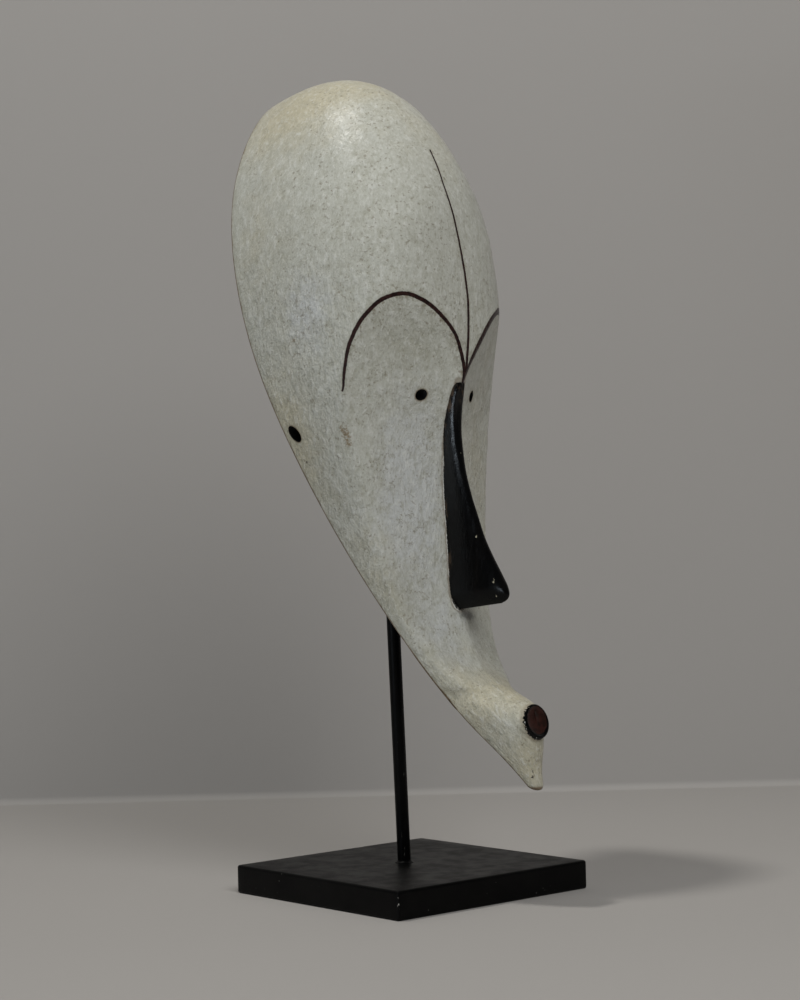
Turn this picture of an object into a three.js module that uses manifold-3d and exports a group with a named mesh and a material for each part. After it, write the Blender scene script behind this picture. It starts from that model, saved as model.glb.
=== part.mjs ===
// A carved and painted spirit mask on its display stand, in millimetres, +Z up.
//
// The mask is one carved piece of wood: a tall egg-shaped head, hollowed from behind, that narrows to a
// snout and a pointed chin. Two facets cut into the front of the head and leave a heart-shaped face with
// two arched brows. A long nose stands on the crease between the facets, and a round mouth ends the
// snout. A black rod carries the head from inside its crown and stands in a square plate.
//
// The head is drawn in its own space: x to the side, "forward" out of the face and z up, with the foot of
// the rod at x = 0, forward = 0. The origin of the whole part is the middle of the plate's underside.

import * as THREE from 'three';
import { LoftGeometry } from 'three/addons/geometries/LoftGeometry.js';
import { mergeVertices } from 'three/addons/utils/BufferGeometryUtils.js';
import Module from 'manifold-3d';

// Stand
const plateSide = 150;
const plateThickness = 17;
const plateEdge = 1.5;
const rodDiameter = 8;
const rodFoot = { x: -2, y: 3 };
const rodLean = THREE.MathUtils.degToRad(1.7);
const rodDepthInPlate = 10;
const gap = 0.3;
const headTurn = THREE.MathUtils.degToRad(6);

// Head: each outline runs up the back edge, from the chin to the crown
const chinHeight = 67;
const crownHeight = 488;
const outlineHeights = [67, 76, 85, 110, 150, 205, 270, 340, 420, 490];
const rimForward = smooth(outlineHeights, [104, 98, 91.8, 70, 40, 7, -20, -49, -74, -82]);
const halfWidth = smooth(outlineHeights, [4, 8.2, 13, 24, 36, 51, 70, 79, 81, 78]);
const depth = smooth(outlineHeights, [5.5, 9.5, 19, 43, 59, 71, 96, 120, 128, 127]);
const sectionTilt = smooth([67, 76, 90, 250, 490], [8, 26, 41, 36, 16]);
const sectionFullness = smooth([67, 250, 490], [2.2, 2.6, 2.2]);
const crownStart = 270;
const crownWidthRound = 2.1;
const crownDepthRound = 2.6;

// Face: a ridge line in the middle, facets that fall away from it on both sides, by so much for each
// millimetre to the side, and flanks that roll over from the facets and fall faster
const ridgeHeights = [60, 95, 107, 116, 123, 128, 138, 152, 175, 205, 240, 275, 310, 360, 420];
const ridgeForward = smooth(
  ridgeHeights,
  [112, 110, 106.5, 102, 88, 78, 65.5, 57, 50.5, 47, 44, 47, 59, 83, 114],
);
const facetFallHeights = [60, 107, 123, 138, 150, 175, 250, 297, 340, 420];
const facetFall = smooth(facetFallHeights, [0.3, 0.1, 0.4, 0.42, 0.37, 0.4, 0.38, 0.5, 0.65, 0.9]);
const flankHeights = [60, 85, 95, 107, 116, 123, 128, 138, 150, 165, 200, 250, 300, 330, 500];
const flankStart = smooth(flankHeights, [2, 3, 6, 9, 5, 4, 10, 26, 38, 42, 42, 53, 66, 80, 90]);
const flankFall = smooth(flankHeights, [1, 1, 1.2, 1.6, 1.8, 1.3, 0.9, 0.8, 1, 1.2, 1.6, 1.6, 1.6, 1.6, 1.6]);
const flankRound = smooth([60, 107, 138, 165, 500], [3, 3, 8, 12, 12]);

// Shoulders: above the mouth the flanks swell between the ridge and the back edge, the right one more
const shoulderHeights = [60, 106, 112, 118, 126, 134, 144, 156, 168];
const shoulder = smooth(shoulderHeights, [0, 0, 3, 7, 8, 6.5, 4, 1.5, 0]);
const shoulderPeak = 0.47;
const leftShoulder = 0.3;

// The right brow is cut a little deeper than the left, as the carver left it
const rightBrowDeeper = 5.5;
const rightBrowFrom = 300;
const rightBrowTo = 332;
const rightBrowReach = 75;
const rightBrowEase = 5;

// Wall
const sideWall = smooth([112, 150, 200], [13, 10.5, 10]);
const frontWall = 10;
const hollowFloor = 114;
const hollowTop = 481;
const hollowCrown = 484;
const hollowBehind = 30;

// Nose
const noseHeights = [170, 171, 173.5, 179, 186, 198, 211, 226, 238, 252, 264, 276, 291, 300, 306];
const noseForward = smooth(
  noseHeights,
  [82, 85, 87.2, 86.4, 83, 76.4, 69.8, 64.4, 60, 56, 54, 52.8, 53.7, 55.5, 56],
);
const noseHalfWidth = smooth(
  [170, 171, 173.5, 179, 200, 240, 280, 291, 300, 306],
  [2.6, 3.6, 4.7, 5.2, 4.6, 3.6, 4.4, 4.5, 4, 3.2],
);
const noseRoot = 6;
const noseRise = 0.12;
const noseRiseReach = 60;
const noseSquareness = 2 / 3.2;
const noseRowSpread = 1.3;

// Mouth
const mouthForward = 107;
const mouthHeight = 107;
const mouthTilt = THREE.MathUtils.degToRad(15);
const mouthRadius = 10.2;
const mouthEdge = 0.8;
const mouthNeck = { radius: 11.5, along: -5 };
const mouthLength = 14;
const mouthFlare = 14;

// Holes
const eyeDiameter = 6.6;
const eyeAt = { side: 22, forward: 42, height: 297 };
const sideHoleWidth = 6.2;
const sideHoleLength = 11;
const sideHoleLean = THREE.MathUtils.degToRad(34);
const sideHoleAt = { side: 69, forward: -14.2, height: 276 };
const sideHoleTurn = THREE.MathUtils.degToRad(105);
const drillReach = 22;

// Fineness of the facets
const aroundHead = 32;
const upHead = 40;
const aroundHollow = 18;
const upHollow = 24;
const faceBottom = 60;
const faceTop = 370;
const faceRow = 7.5;
const rowsAboveFace = [420, 500];
const snoutBottom = 90;
const snoutTop = 150;
const snoutRow = 4;
const acrossFace = [4, 8, 12, 17, 23, 30, 37, 44, 51, 57, 63, 69, 76, 140];
const lastStation = 0.997;
const aroundNose = 12;
const upNose = 24;
const aroundMouth = 28;
const roundSteps = 18;
const rodSteps = 24;
const sameCorner = 1e-4;

const wasm = await Module();
wasm.setup();

// A smooth curve through values given at rising heights
function smooth(heights, values) {
  const curve = new THREE.CubicInterpolant(heights, values, 1, new Float64Array(1));
  return height => curve.evaluate(THREE.MathUtils.clamp(height, heights[0], heights.at(-1)))[0];
}

// A point of the head's own space
const place = (x, forward, z) => new THREE.Vector3(x, -forward, z);

const signedPower = (value, power) => Math.sign(value) * Math.abs(value) ** power;

// A closed solid from a three.js geometry, with shared corners merged and collapsed faces dropped
function solid(geometry) {
  const plain = new THREE.BufferGeometry();
  plain.setAttribute('position', geometry.getAttribute('position'));
  plain.setIndex(geometry.getIndex());
  const merged = mergeVertices(plain, sameCorner);
  const index = merged.index.array;
  const triangles = [];
  for (let i = 0; i < index.length; i += 3) {
    const [a, b, c] = [index[i], index[i + 1], index[i + 2]];
    if (a !== b && b !== c && c !== a) triangles.push(a, b, c);
  }
  return new wasm.Manifold(new wasm.Mesh({
    numProp: 3,
    vertProperties: new Float32Array(merged.attributes.position.array),
    triVerts: new Uint32Array(triangles),
  }));
}

// The three.js geometry of a solid
function geometryOf(body) {
  const mesh = body.getMesh();
  const geometry = new THREE.BufferGeometry();
  geometry.setAttribute('position', new THREE.BufferAttribute(new Float32Array(mesh.vertProperties), 3));
  geometry.setIndex(new THREE.BufferAttribute(new Uint32Array(mesh.triVerts), 1));
  geometry.computeVertexNormals();
  return geometry;
}

const loft = sections => solid(new LoftGeometry(sections, { capStart: true, capEnd: true }));

// A round bar between two points
function bar(start, end, diameter, steps = roundSteps) {
  const axis = new THREE.Vector3().subVectors(end, start);
  const geometry = new THREE.CylinderGeometry(diameter / 2, diameter / 2, axis.length(), steps);
  const upright = new THREE.Vector3(0, 1, 0);
  const turn = new THREE.Quaternion().setFromUnitVectors(upright, axis.clone().normalize());
  geometry.applyQuaternion(turn);
  geometry.translate(...new THREE.Vector3().addVectors(start, end).multiplyScalar(0.5));
  return solid(geometry);
}

// Crown closing: 1 below its start, falling to 0 at the top like the end of an egg
function closing(height, crown, power) {
  const share = THREE.MathUtils.clamp((height - crownStart) / (crown - crownStart), 0, 1);
  return Math.max(1 - share ** power, 0) ** (1 / power);
}

// Heights of the sections: even over the head, closer together as the crown closes
function stationHeights(bottom, top, count) {
  const evenShare = 0.7;
  return Array.from({ length: count + 1 }, (_, i) => {
    const share = lastStation * i / count;
    if (share < evenShare) return bottom + (top - bottom) * share;
    const rest = 1 - evenShare;
    const closer = evenShare + rest * Math.sin((share - evenShare) / rest * Math.PI / 2);
    return bottom + (top - bottom) * closer;
  });
}

// One tilted section: a rounded front, drawn in by the wall, on a back that is moved behind the rim
function headSection(height, crown, around, wall, behind) {
  const half = halfWidth(height) * closing(height, crown, crownWidthRound) - wall.side;
  const reach = depth(height) * closing(height, crown, crownDepthRound) - wall.front;
  const tilt = THREE.MathUtils.degToRad(sectionTilt(height));
  const fullness = 2 / sectionFullness(height);
  const at = (x, out) => place(x, rimForward(height) + out * Math.cos(tilt), height + out * Math.sin(tilt));
  const points = [];
  for (let i = 0; i <= around; i++) {
    const angle = Math.PI * (i / around - 0.5);
    points.push(at(half * signedPower(Math.sin(angle), fullness), reach * Math.cos(angle) ** fullness));
  }
  if (behind > 0) points.push(at(half, -behind), at(-half, -behind));
  return points;
}

function headBlock() {
  const noWall = { side: 0, front: 0 };
  const heights = stationHeights(chinHeight, crownHeight, upHead);
  return loft(heights.map(height => headSection(height, crownHeight, aroundHead, noWall, 0)));
}

// How far forward the carved face stands at a place to the side (right is negative) and a height
function faceForward(x, z) {
  const side = Math.abs(x);
  const beyond = Math.max(side - flankStart(z), 0);
  const round = flankRound(z);
  const rolled = beyond < round ? beyond ** 2 / (2 * round) : beyond - round / 2;
  const share = Math.min(side / halfWidth(z), 1);
  const swell = shoulder(z) * (x < 0 ? 1 : leftShoulder) * share ** 2 * (1 - share ** 6) / shoulderPeak;
  const facet = ridgeForward(z) + swell - facetFall(z) * side - (flankFall(z) - facetFall(z)) * rolled;
  if (x >= 0) return facet;
  const up = THREE.MathUtils.smoothstep(z, rightBrowFrom, rightBrowTo);
  const out = Math.min(side / rightBrowEase, 1) * Math.max(1 - side / rightBrowReach, 0);
  return facet - rightBrowDeeper * up * out;
}

// Heights of the face's rows: closest together on the snout
function faceRows() {
  const rows = [];
  let z = faceBottom;
  while (z < faceTop) {
    rows.push(z);
    const onSnout = z >= snoutBottom && z < snoutTop;
    z += onSnout ? snoutRow : faceRow;
  }
  return [...rows, ...rowsAboveFace];
}

// Everything behind the face, moved back by an inset
function behindFace(inset) {
  const backReach = -250;
  const sideReach = acrossFace.at(-1);
  const across = [...acrossFace.map(side => -side).reverse(), 0, ...acrossFace];
  return loft(faceRows().map(z => {
    const front = across.map(x => place(x, faceForward(x, z) - inset, z));
    return [place(sideReach, backReach, z), place(-sideReach, backReach, z), ...front];
  }));
}

function hollow() {
  const sections = stationHeights(hollowFloor, hollowTop, upHollow).map(height => {
    const wall = { side: sideWall(height), front: frontWall };
    return headSection(height, hollowCrown, aroundHollow, wall, hollowBehind);
  });
  return loft(sections).intersect(behindFace(frontWall));
}

// The nose: upright flanks with a rounded front, its underside rising a little towards the tip
function nose() {
  const bottom = noseHeights[0];
  const top = noseHeights.at(-1);
  const sections = [];
  for (let i = 0; i <= upNose; i++) {
    const z = bottom + (top - bottom) * (i / upNose) ** noseRowSpread;
    const back = ridgeForward(z) - noseRoot;
    const reach = noseForward(z) - back;
    const lift = noseRise * Math.max(0, 1 - (z - bottom) / noseRiseReach);
    const points = [];
    for (let j = 0; j <= aroundNose; j++) {
      const angle = Math.PI * (j / aroundNose - 0.5);
      const side = noseHalfWidth(z) * signedPower(Math.sin(angle), noseSquareness);
      const out = reach * Math.cos(angle) ** noseSquareness;
      points.push(place(side, back + out, z + lift * out));
    }
    sections.push(points);
  }
  return loft(sections);
}

// The mouth: a short round end of the snout with a flat disc for a face
function mouth() {
  const profile = [
    [0, -mouthLength],
    [mouthFlare, -mouthLength],
    [mouthNeck.radius, mouthNeck.along],
    [mouthRadius, -mouthEdge],
    [mouthRadius - mouthEdge, 0],
    [0, 0],
  ].map(([radius, along]) => new THREE.Vector2(radius, along));
  const geometry = new THREE.LatheGeometry(profile, aroundMouth);
  geometry.rotateX(Math.PI - mouthTilt);
  geometry.translate(...place(0, mouthForward, mouthHeight));
  return solid(geometry);
}

// The level round hole of the right or the left eye, straight through the wall
function eyeHole(side) {
  const at = step => place(side * eyeAt.side, eyeAt.forward + step, eyeAt.height);
  return bar(at(-drillReach), at(drillReach), eyeDiameter);
}

// The level oval hole in the right or the left side: its upper end leans back
function sideHole(side) {
  const geometry = new THREE.CylinderGeometry(1, 1, 2 * drillReach, roundSteps);
  geometry.scale(sideHoleWidth / 2, 1, sideHoleLength / 2);
  geometry.rotateY(-side * sideHoleLean);
  geometry.rotateZ(-side * (Math.PI - sideHoleTurn));
  geometry.translate(...place(side * sideHoleAt.side, sideHoleAt.forward, sideHoleAt.height));
  return solid(geometry);
}

// A point of the rod's centre line, at a height above the floor
const onRod = z => place(0, -Math.tan(rodLean) * z, z);

const rodTop = 484;
const rodBottom = plateThickness - rodDepthInPlate;

function rod(clearance) {
  return bar(onRod(rodBottom - clearance), onRod(rodTop + clearance), rodDiameter + 2 * clearance, rodSteps);
}

function plate() {
  const half = plateSide / 2 - plateEdge;
  const outline = new THREE.Shape();
  outline.moveTo(-half, -half);
  outline.lineTo(half, -half);
  outline.lineTo(half, half);
  outline.lineTo(-half, half);
  outline.closePath();
  const geometry = new THREE.ExtrudeGeometry(outline, {
    depth: plateThickness - 2 * plateEdge,
    bevelEnabled: true,
    bevelSize: plateEdge,
    bevelThickness: plateEdge,
    bevelSegments: 3,
  });
  geometry.translate(0, 0, plateEdge);
  return solid(geometry);
}

// Where the head and the rod stand on the plate
const onPlate = new THREE.Matrix4()
  .makeRotationZ(headTurn)
  .setPosition(rodFoot.x, rodFoot.y, 0);

function mask() {
  let body = headBlock().intersect(behindFace(0));
  body = body.add(mouth()).add(nose()).subtract(hollow());
  for (const side of [-1, 1]) {
    body = body.subtract(eyeHole(side)).subtract(sideHole(side));
  }
  return body.subtract(rod(gap));
}

const paintedWood = new THREE.MeshStandardMaterial({ color: 0xc8c6b4, roughness: 0.55, metalness: 0 });
const blackMetal = new THREE.MeshStandardMaterial({ color: 0x141414, roughness: 0.45, metalness: 0.4 });
const blackWood = new THREE.MeshStandardMaterial({ color: 0x121212, roughness: 0.5, metalness: 0 });

function piece(name, body, material) {
  const mesh = new THREE.Mesh(geometryOf(body), material);
  mesh.name = name;
  return mesh;
}

const standing = new THREE.Group();
standing.applyMatrix4(onPlate);
standing.add(piece('mask', mask(), paintedWood));
standing.add(piece('rod', rod(0), blackMetal));

const rodInPlate = solid(geometryOf(rod(gap)).applyMatrix4(onPlate));
const object = new THREE.Group();
object.add(standing);
object.add(piece('base_plate', plate().subtract(rodInPlate), blackWood));

export default object;
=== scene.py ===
"""The finish of a carved and painted spirit mask on its stand, with the studio and the camera.

The mask is drawn in the head's own space, in millimetres: x to the side (right is negative), "forward"
out of the face and z up, from the foot of the rod. It is placed on the stand in metres at the end.
"""

import math

import bmesh
import bpy
import numpy as np
from bpy.props import FloatProperty, FloatVectorProperty, IntProperty, PointerProperty
from mathutils import Matrix, Vector, noise
from mathutils.bvhtree import BVHTree


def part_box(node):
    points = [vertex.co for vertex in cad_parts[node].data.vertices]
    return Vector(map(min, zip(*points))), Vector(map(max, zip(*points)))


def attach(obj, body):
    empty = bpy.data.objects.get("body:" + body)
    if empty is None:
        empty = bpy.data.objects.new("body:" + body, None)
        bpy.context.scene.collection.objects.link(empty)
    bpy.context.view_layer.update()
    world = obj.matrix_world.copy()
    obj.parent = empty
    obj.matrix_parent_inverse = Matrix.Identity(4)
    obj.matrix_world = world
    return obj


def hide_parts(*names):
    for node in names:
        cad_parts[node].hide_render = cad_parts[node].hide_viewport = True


bl_info = {
    "name": "Carved spirit mask on a stand",
    "version": (1, 0, 0),
    "blender": (4, 5, 0),
    "location": "View3D > Sidebar > Mask",
    "description": "Builds a carved and painted spirit mask with its rod and plate",
    "category": "Add Mesh",
}

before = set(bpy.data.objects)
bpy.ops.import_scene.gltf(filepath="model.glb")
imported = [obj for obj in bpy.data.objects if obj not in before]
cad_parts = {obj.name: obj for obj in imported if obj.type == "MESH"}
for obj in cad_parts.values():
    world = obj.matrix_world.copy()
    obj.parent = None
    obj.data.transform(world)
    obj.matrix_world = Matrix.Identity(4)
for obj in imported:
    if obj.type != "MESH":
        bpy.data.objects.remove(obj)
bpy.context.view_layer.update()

MM = 0.001
PLATE_LOW, PLATE_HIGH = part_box("base_plate")
ROD_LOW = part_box("rod")[0]
MASK_LOW, MASK_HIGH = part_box("mask")


# The head's curves


def smooth(heights, values):
    """A smooth curve through values given at rising heights, the one that the solids are drawn with."""
    heights = np.array(heights, float)
    values = np.array(values, float)
    steps = np.diff(heights)
    slopes = np.diff(values) / steps
    tangents = np.concatenate([slopes[:1], (slopes[:-1] + slopes[1:]) / 2, slopes[-1:]])

    def curve(height):
        height = np.clip(height, heights[0], heights[-1])
        i = np.clip(np.searchsorted(heights, height, side="right") - 1, 0, len(steps) - 1)
        t = (height - heights[i]) / steps[i]
        start = (2 * t**3 - 3 * t**2 + 1) * values[i] + (t**3 - 2 * t**2 + t) * steps[i] * tangents[i]
        end = (3 * t**2 - 2 * t**3) * values[i + 1] + (t**3 - t**2) * steps[i] * tangents[i + 1]
        return start + end

    return curve


CHIN_HEIGHT = 67
CROWN_HEIGHT = 488
OUTLINE_HEIGHTS = [67, 76, 85, 110, 150, 205, 270, 340, 420, 490]
rim_forward = smooth(OUTLINE_HEIGHTS, [104, 98, 91.8, 70, 40, 7, -20, -49, -74, -82])
half_width = smooth(OUTLINE_HEIGHTS, [4, 8.2, 13, 24, 36, 51, 70, 79, 81, 78])
depth = smooth(OUTLINE_HEIGHTS, [5.5, 9.5, 19, 43, 59, 71, 96, 120, 128, 127])
section_tilt = smooth([67, 76, 90, 250, 490], [8, 26, 41, 36, 16])
section_fullness = smooth([67, 250, 490], [2.2, 2.6, 2.2])
CROWN_START = 270
CROWN_WIDTH_ROUND = 2.1
CROWN_DEPTH_ROUND = 2.6

RIDGE_HEIGHTS = [60, 95, 107, 116, 123, 128, 138, 152, 175, 205, 240, 275, 310, 360, 420]
RIDGE_FORWARD = [112, 110, 106.5, 102, 88, 78, 65.5, 57, 50.5, 47, 44, 47, 59, 83, 114]
ridge_forward = smooth(RIDGE_HEIGHTS, RIDGE_FORWARD)
FALL_HEIGHTS = [60, 107, 123, 138, 150, 175, 250, 297, 340, 420]
facet_fall = smooth(FALL_HEIGHTS, [0.3, 0.1, 0.4, 0.42, 0.37, 0.4, 0.38, 0.5, 0.65, 0.9])
FLANK_HEIGHTS = [60, 85, 95, 107, 116, 123, 128, 138, 150, 165, 200, 250, 300, 330, 500]
flank_start = smooth(FLANK_HEIGHTS, [2, 3, 6, 9, 5, 4, 10, 26, 38, 42, 42, 53, 66, 80, 90])
FLANK_FALL = [1, 1, 1.2, 1.6, 1.8, 1.3, 0.9, 0.8, 1, 1.2, 1.6, 1.6, 1.6, 1.6, 1.6]
flank_fall = smooth(FLANK_HEIGHTS, FLANK_FALL)
flank_round = smooth([60, 107, 138, 165, 500], [3, 3, 8, 12, 12])
# The right brow lies deeper: by how much, between which heights it sets in, and over what distance
# from the middle it starts and ends
RIGHT_BROW_DEEPER = 5.5
RIGHT_BROW_HEIGHTS = (300, 332)
RIGHT_BROW_SIDES = (5, 75)
ridge_round = smooth([118, 132, 150, 170, 178], [0, 1.2, 2, 1.6, 0])
SHOULDER_HEIGHTS = [60, 106, 112, 118, 126, 134, 144, 156, 168]
shoulder = smooth(SHOULDER_HEIGHTS, [0, 0, 3, 7, 8, 6.5, 4, 1.5, 0])
SHOULDER_PEAK = 0.47
LEFT_SHOULDER = 0.3

side_wall = smooth([112, 150, 200], [13, 10.5, 10])
FRONT_WALL = 10
HOLLOW_FLOOR = 114
HOLLOW_FLOOR_ROUND = 40
HOLLOW_CROWN = 484
HOLLOW_END = 2.2
HOLLOW_CREASE = 8

NOSE_HEIGHTS = [170, 171, 173.5, 179, 186, 198, 211, 226, 238, 252, 264, 276, 291, 300, 306]
NOSE_FORWARD = [82, 85, 87.2, 86.4, 83, 76.4, 69.8, 64.4, 60, 56, 54, 52.8, 53.7, 55.5, 56]
nose_forward = smooth(NOSE_HEIGHTS, NOSE_FORWARD)
NOSE_WIDTH_HEIGHTS = [170, 171, 173.5, 179, 200, 240, 280, 291, 300, 306]
nose_half_width = smooth(NOSE_WIDTH_HEIGHTS, [2.6, 3.6, 4.7, 5.2, 4.6, 3.6, 4.4, 4.5, 4, 3.2])
NOSE_ROOT = 6
NOSE_RISE = 0.12
NOSE_SQUARE = 3.2

MOUTH_CENTRE = (107, 107)
MOUTH_TILT = math.radians(15)
MOUTH_RADIUS = 10.2
MOUTH_LENGTH = 14
MOUTH_FLARE = 14
MOUTH_EDGE = 1.1

EYE = {"side": 22, "forward": 42, "height": 297, "turn": 0, "width": 6.6, "length": 6.6, "lean": 0}
SIDE_HOLE = {"side": 69, "forward": -14.2, "height": 276, "turn": math.radians(105), "width": 6.2,
             "length": 11, "lean": math.radians(34)}
DRILL_REACH = 22

ROD_LEAN = math.radians(1.7)
ROD_FOOT = (-2, 3)
ROD_TOP = 484
ROD_DIAMETER = 8
ROD_CLEARANCE = 0.3
HEAD_TURN = math.radians(6)

# The brow arches, as side and height
RIGHT_BROW = [(0, 300), (-0.2, 307), (-2.4, 318), (-7.3, 331), (-19.6, 344), (-29.8, 351), (-41, 355),
              (-51, 352), (-58.6, 342.5), (-63.4, 328.6), (-64.9, 313.6), (-64.9, 299.5)]
LEFT_BROW = [(0, 300), (0.4, 307), (3, 312.5), (8.5, 321), (17, 331), (27.6, 341), (36, 346), (43, 348.5),
             (51, 348.5), (59, 341), (64, 330), (66, 315), (66.2, 300)]
BROW_BOTTOM = 299.3
MEDIAN_BOTTOM, MEDIAN_TOP = 308, 443.7
# Half the width of a brow line along its length, as shares of the length and millimetres
BROW_WIDTHS = ([0, 0.1, 0.35, 0.75, 0.93, 1], [0.8, 1.0, 1.15, 1.1, 0.85, 0.5])
LEFT_LINE_BREADTH = 1.8
# How far the line up the forehead wanders to the left side
median_side = smooth([308, 318, 328, 340, 358, 372, 388, 404, 420, 432, 444],
                     [0.2, 1.2, 2.8, 4.3, 4.6, 3.4, 1.2, -0.6, -1.7, -1.6, -1])


def closing(height, crown, power):
    """1 below the start of the crown, falling to 0 at its top like the end of an egg."""
    share = np.clip((height - CROWN_START) / (crown - CROWN_START), 0, 1)
    return np.maximum(1 - share**power, 0) ** (1 / power)


def soft_minimum(a, b, radius):
    """The smaller of two surfaces, with the crease between them rounded."""
    share = np.clip(0.5 + 0.5 * (b - a) / radius, 0, 1)
    return b * (1 - share) + a * share - radius * share * (1 - share)


def smooth_step(value, start, end):
    t = np.clip((value - start) / (end - start), 0, 1)
    return t * t * (3 - 2 * t)


def face_forward(x, z):
    """How far forward the carved face stands: a ridge, a facet on each side, and rolled flanks."""
    side = np.abs(x)
    beyond = np.maximum(side - flank_start(z), 0)
    turn = flank_round(z)
    rolled = np.where(beyond < turn, beyond**2 / (2 * turn), beyond - turn / 2)
    share = np.minimum(side / half_width(z), 1)
    swell = shoulder(z) * np.where(x < 0, 1, LEFT_SHOULDER) * share**2 * (1 - share**6) / SHOULDER_PEAK
    soft = ridge_round(z)
    across = np.sqrt(side**2 + soft**2) - soft / 2
    facet = ridge_forward(z) + swell - facet_fall(z) * across - (flank_fall(z) - facet_fall(z)) * rolled
    near, far = RIGHT_BROW_SIDES
    deeper = smooth_step(z, *RIGHT_BROW_HEIGHTS) * np.minimum(side / near, 1) * np.maximum(1 - side / far, 0)
    return facet - np.where(x < 0, RIGHT_BROW_DEEPER * deeper, 0)


def crease_radius(x, z):
    """The brows are crisp, the flanks and the snout roll into the sides, and the left side less."""
    snout = 2 + 7 * smooth_step(z, 84, 118) - 5 * smooth_step(z, 150, 190)
    rolled = 1.6 + (snout + 8 * smooth_step(z, 150, 230) - 1.6) * (1 - smooth_step(z, 268, 306))
    return np.where(x < 0, rolled, 0.5 + 0.05 * rolled)


# Meshes


PAINTED, BARE = 0, 1
# Points nearer than this are one, in millimetres: in a new mesh, and where solids were joined
SAME_PLACE = 1e-4
SAME_PLACE_JOINED = 0.03


def on_stand():
    """From the head's own space, in millimetres, to the stand's, in metres."""
    foot = Matrix.Translation((ROD_FOOT[0] * MM, ROD_FOOT[1] * MM, 0))
    return foot @ Matrix.Rotation(HEAD_TURN, 4, "Z") @ Matrix.Diagonal((MM, -MM, MM, 1))


def laid_grid(points, bare_from=None):
    """A closed skin on an array of points, rows by columns; columns from one number on are bare wood."""
    rows, columns = points.shape[:2]
    bm = bmesh.new()
    bmesh.ops.create_grid(bm, x_segments=columns - 1, y_segments=rows - 1, size=1)
    if bare_from is not None:
        edge = 2 * bare_from / (columns - 1) - 1
        for face in bm.faces:
            face.material_index = BARE if face.calc_center_median().x > edge else PAINTED
    for vert in bm.verts:
        column = round((vert.co.x + 1) / 2 * (columns - 1))
        row = round((vert.co.y + 1) / 2 * (rows - 1))
        vert.co = points[row, column]
    bmesh.ops.remove_doubles(bm, verts=bm.verts, dist=SAME_PLACE)
    bmesh.ops.dissolve_degenerate(bm, edges=bm.edges, dist=SAME_PLACE / 10)
    bmesh.ops.holes_fill(bm, edges=bm.edges, sides=0)
    bmesh.ops.recalc_face_normals(bm, faces=bm.faces)
    return bm


def spun(profile, steps, ring=False):
    """A profile of radius and height, spun about the upright axis; a ring's profile is closed first."""
    bm = bmesh.new()
    verts = [bm.verts.new((radius, 0, height)) for radius, height in profile]
    edges = [bm.edges.new(pair) for pair in zip(verts, verts[1:] + (verts[:1] if ring else []))]
    bmesh.ops.spin(bm, geom=verts + edges, axis=(0, 0, 1), cent=(0, 0, 0), steps=steps,
                   angle=2 * math.pi, use_merge=True, use_duplicate=False)
    return bm


def resampled(points, count):
    """Rows of dense points, resampled so that each row's points are evenly far apart."""
    steps = np.linalg.norm(np.diff(points, axis=1), axis=2)
    along = np.concatenate([np.zeros((len(points), 1)), np.cumsum(steps, axis=1)], axis=1)
    result = np.empty((len(points), count, 3))
    for i, row in enumerate(points):
        length = along[i, -1]
        if length < 1e-6:
            result[i] = row[0]
            continue
        even = np.linspace(0, length, count)
        for axis in range(3):
            result[i, :, axis] = np.interp(even, along[i], row[:, axis])
    return result


def half_round(count, fullness):
    """A half round from right to left, as shares of its half width and of its reach; fuller is squarer."""
    angle = np.linspace(-np.pi / 2, np.pi / 2, count)[None, :]
    power = 2 / fullness
    return np.sign(np.sin(angle)) * np.abs(np.sin(angle)) ** power, np.abs(np.cos(angle)) ** power


def section(height, crown, walls, share=1.0):
    """The section of one height as x and the distance out from the rim, dense from right to left."""
    half = half_width(height) * closing(height, crown, CROWN_WIDTH_ROUND) - walls[0]
    reach = depth(height) * closing(height, crown, CROWN_DEPTH_ROUND) - walls[1]
    across, out = half_round(DENSE, section_fullness(height))
    return np.maximum(half, 0) * share * across, np.maximum(reach, 0) * share * out


def placed(x, out, height):
    """Points of a tilted section in the head's space."""
    tilt = np.radians(section_tilt(height))
    x, out, height, tilt = np.broadcast_arrays(x, out, height, tilt)
    return np.stack([x, rim_forward(height) + out * np.cos(tilt), height + out * np.sin(tilt)], -1)


def cut_to_face(points, inset, radius):
    """Points of the head moved back to the carved face, but never behind the rim."""
    x, forward, z = points[..., 0], points[..., 1], points[..., 2]
    cut = soft_minimum(forward, face_forward(x, z) - inset, radius)
    points[..., 1] = np.maximum(np.minimum(cut, forward), np.minimum(rim_forward(z), forward))
    return points


CHIN_ROUND = 2.8
CHIN_DRAWN_IN = 0.88
CHIN_RINGS = 9


def ring_heights(count):
    """Heights of the rings, evenly far apart along the front of the head and along its rim."""
    share = np.linspace(0, 1, 2001)
    heights = CHIN_HEIGHT + (CROWN_HEIGHT - CHIN_HEIGHT) * np.sin(share * np.pi / 2) ** 0.9 * 0.9995
    reach = depth(heights) * closing(heights, CROWN_HEIGHT, CROWN_DEPTH_ROUND)
    front = placed(np.zeros_like(heights), reach, heights)
    front[:, 1] = np.minimum(front[:, 1], face_forward(front[:, 0], front[:, 2]))
    rim = placed(half_width(heights) * closing(heights, CROWN_HEIGHT, CROWN_WIDTH_ROUND), 0, heights)
    step = np.maximum(*(np.linalg.norm(np.diff(line, axis=0), axis=1) for line in (front, rim)))
    along = np.concatenate([[0], np.cumsum(step)])
    even = np.interp(np.linspace(0, along[-1], count), along, heights)
    chin = CHIN_HEIGHT + CHIN_ROUND * (1 - np.cos(np.linspace(0, np.pi / 2, CHIN_RINGS)))
    return np.concatenate([chin, even[even > CHIN_HEIGHT + CHIN_ROUND + 0.4]])[:, None]


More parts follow.
